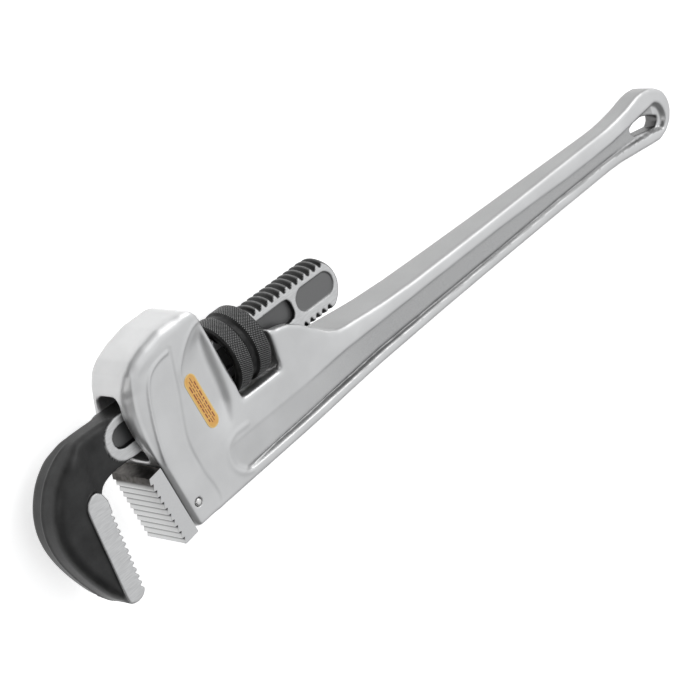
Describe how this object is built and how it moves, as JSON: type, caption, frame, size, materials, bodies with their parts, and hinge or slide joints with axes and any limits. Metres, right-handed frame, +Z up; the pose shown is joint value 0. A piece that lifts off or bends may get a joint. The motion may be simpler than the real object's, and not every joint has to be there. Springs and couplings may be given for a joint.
{
  "type": "pipe wrench",
  "caption": "Straight pipe wrench: cast aluminium handle and housing, forged hook jaw with threaded shank, knurled adjusting nut, and pinned toothed heel jaw.",
  "frame": {"origin": "under the middle of the object's box, on the plane that it lies on", "axes": "+X along the handle from the jaws to the hang hole, +Y towards the adjusting nut's open side, +Z up, across the wrench's thickness"},
  "size_m": [0.5476, 0.125, 0.044],
  "materials": {
    "cast_aluminium": "satin cast, lightly blasted",
    "black_forging": "black oxide on forged steel, ground tooth and shank faces",
    "jaw_steel": "ground and machined",
    "black_nut": "black oxide, diamond knurl",
    "pin_steel": "polished",
    "spring_steel": "oiled spring steel",
    "label_film": "printed film"
  },
  "bodies": {
    "frame": {"handle": "cast_aluminium", "heel_jaw": "jaw_steel", "heel_jaw_pin": "pin_steel", "label": "label_film"},
    "rocker": {"flat_spring": "spring_steel", "coil_spring": "spring_steel"},
    "nut": {"adjusting_nut": "black_nut"},
    "jaw": {"hook_jaw": "black_forging"}
  },
  "joints": [
    {"name": "jaw_rock", "type": "hinge", "parent": "frame", "child": "rocker", "pos_m": [-0.13478, 0.00896, 0.02199], "axis": [0, 0, 1], "range_deg": [0, 3], "stiffness_Nm_per_rad": 30, "springref_deg": -1.72},
    {"name": "nut_spin", "type": "hinge", "parent": "rocker", "child": "nut", "pos_m": [-0.12087, 0.01938, 0.02199], "axis": [1, 0, 0], "range_deg": [-1732, 4448]},
    {"name": "jaw_slide", "type": "slide", "parent": "rocker", "child": "jaw", "axis": [-1, 0, 0], "range_m": [-0.0243, 0.0624]}
  ],
  "couplings": [
    {"joint": "nut_spin", "follows": "jaw_slide", "rad_per_m": 1243.3}
  ]
}
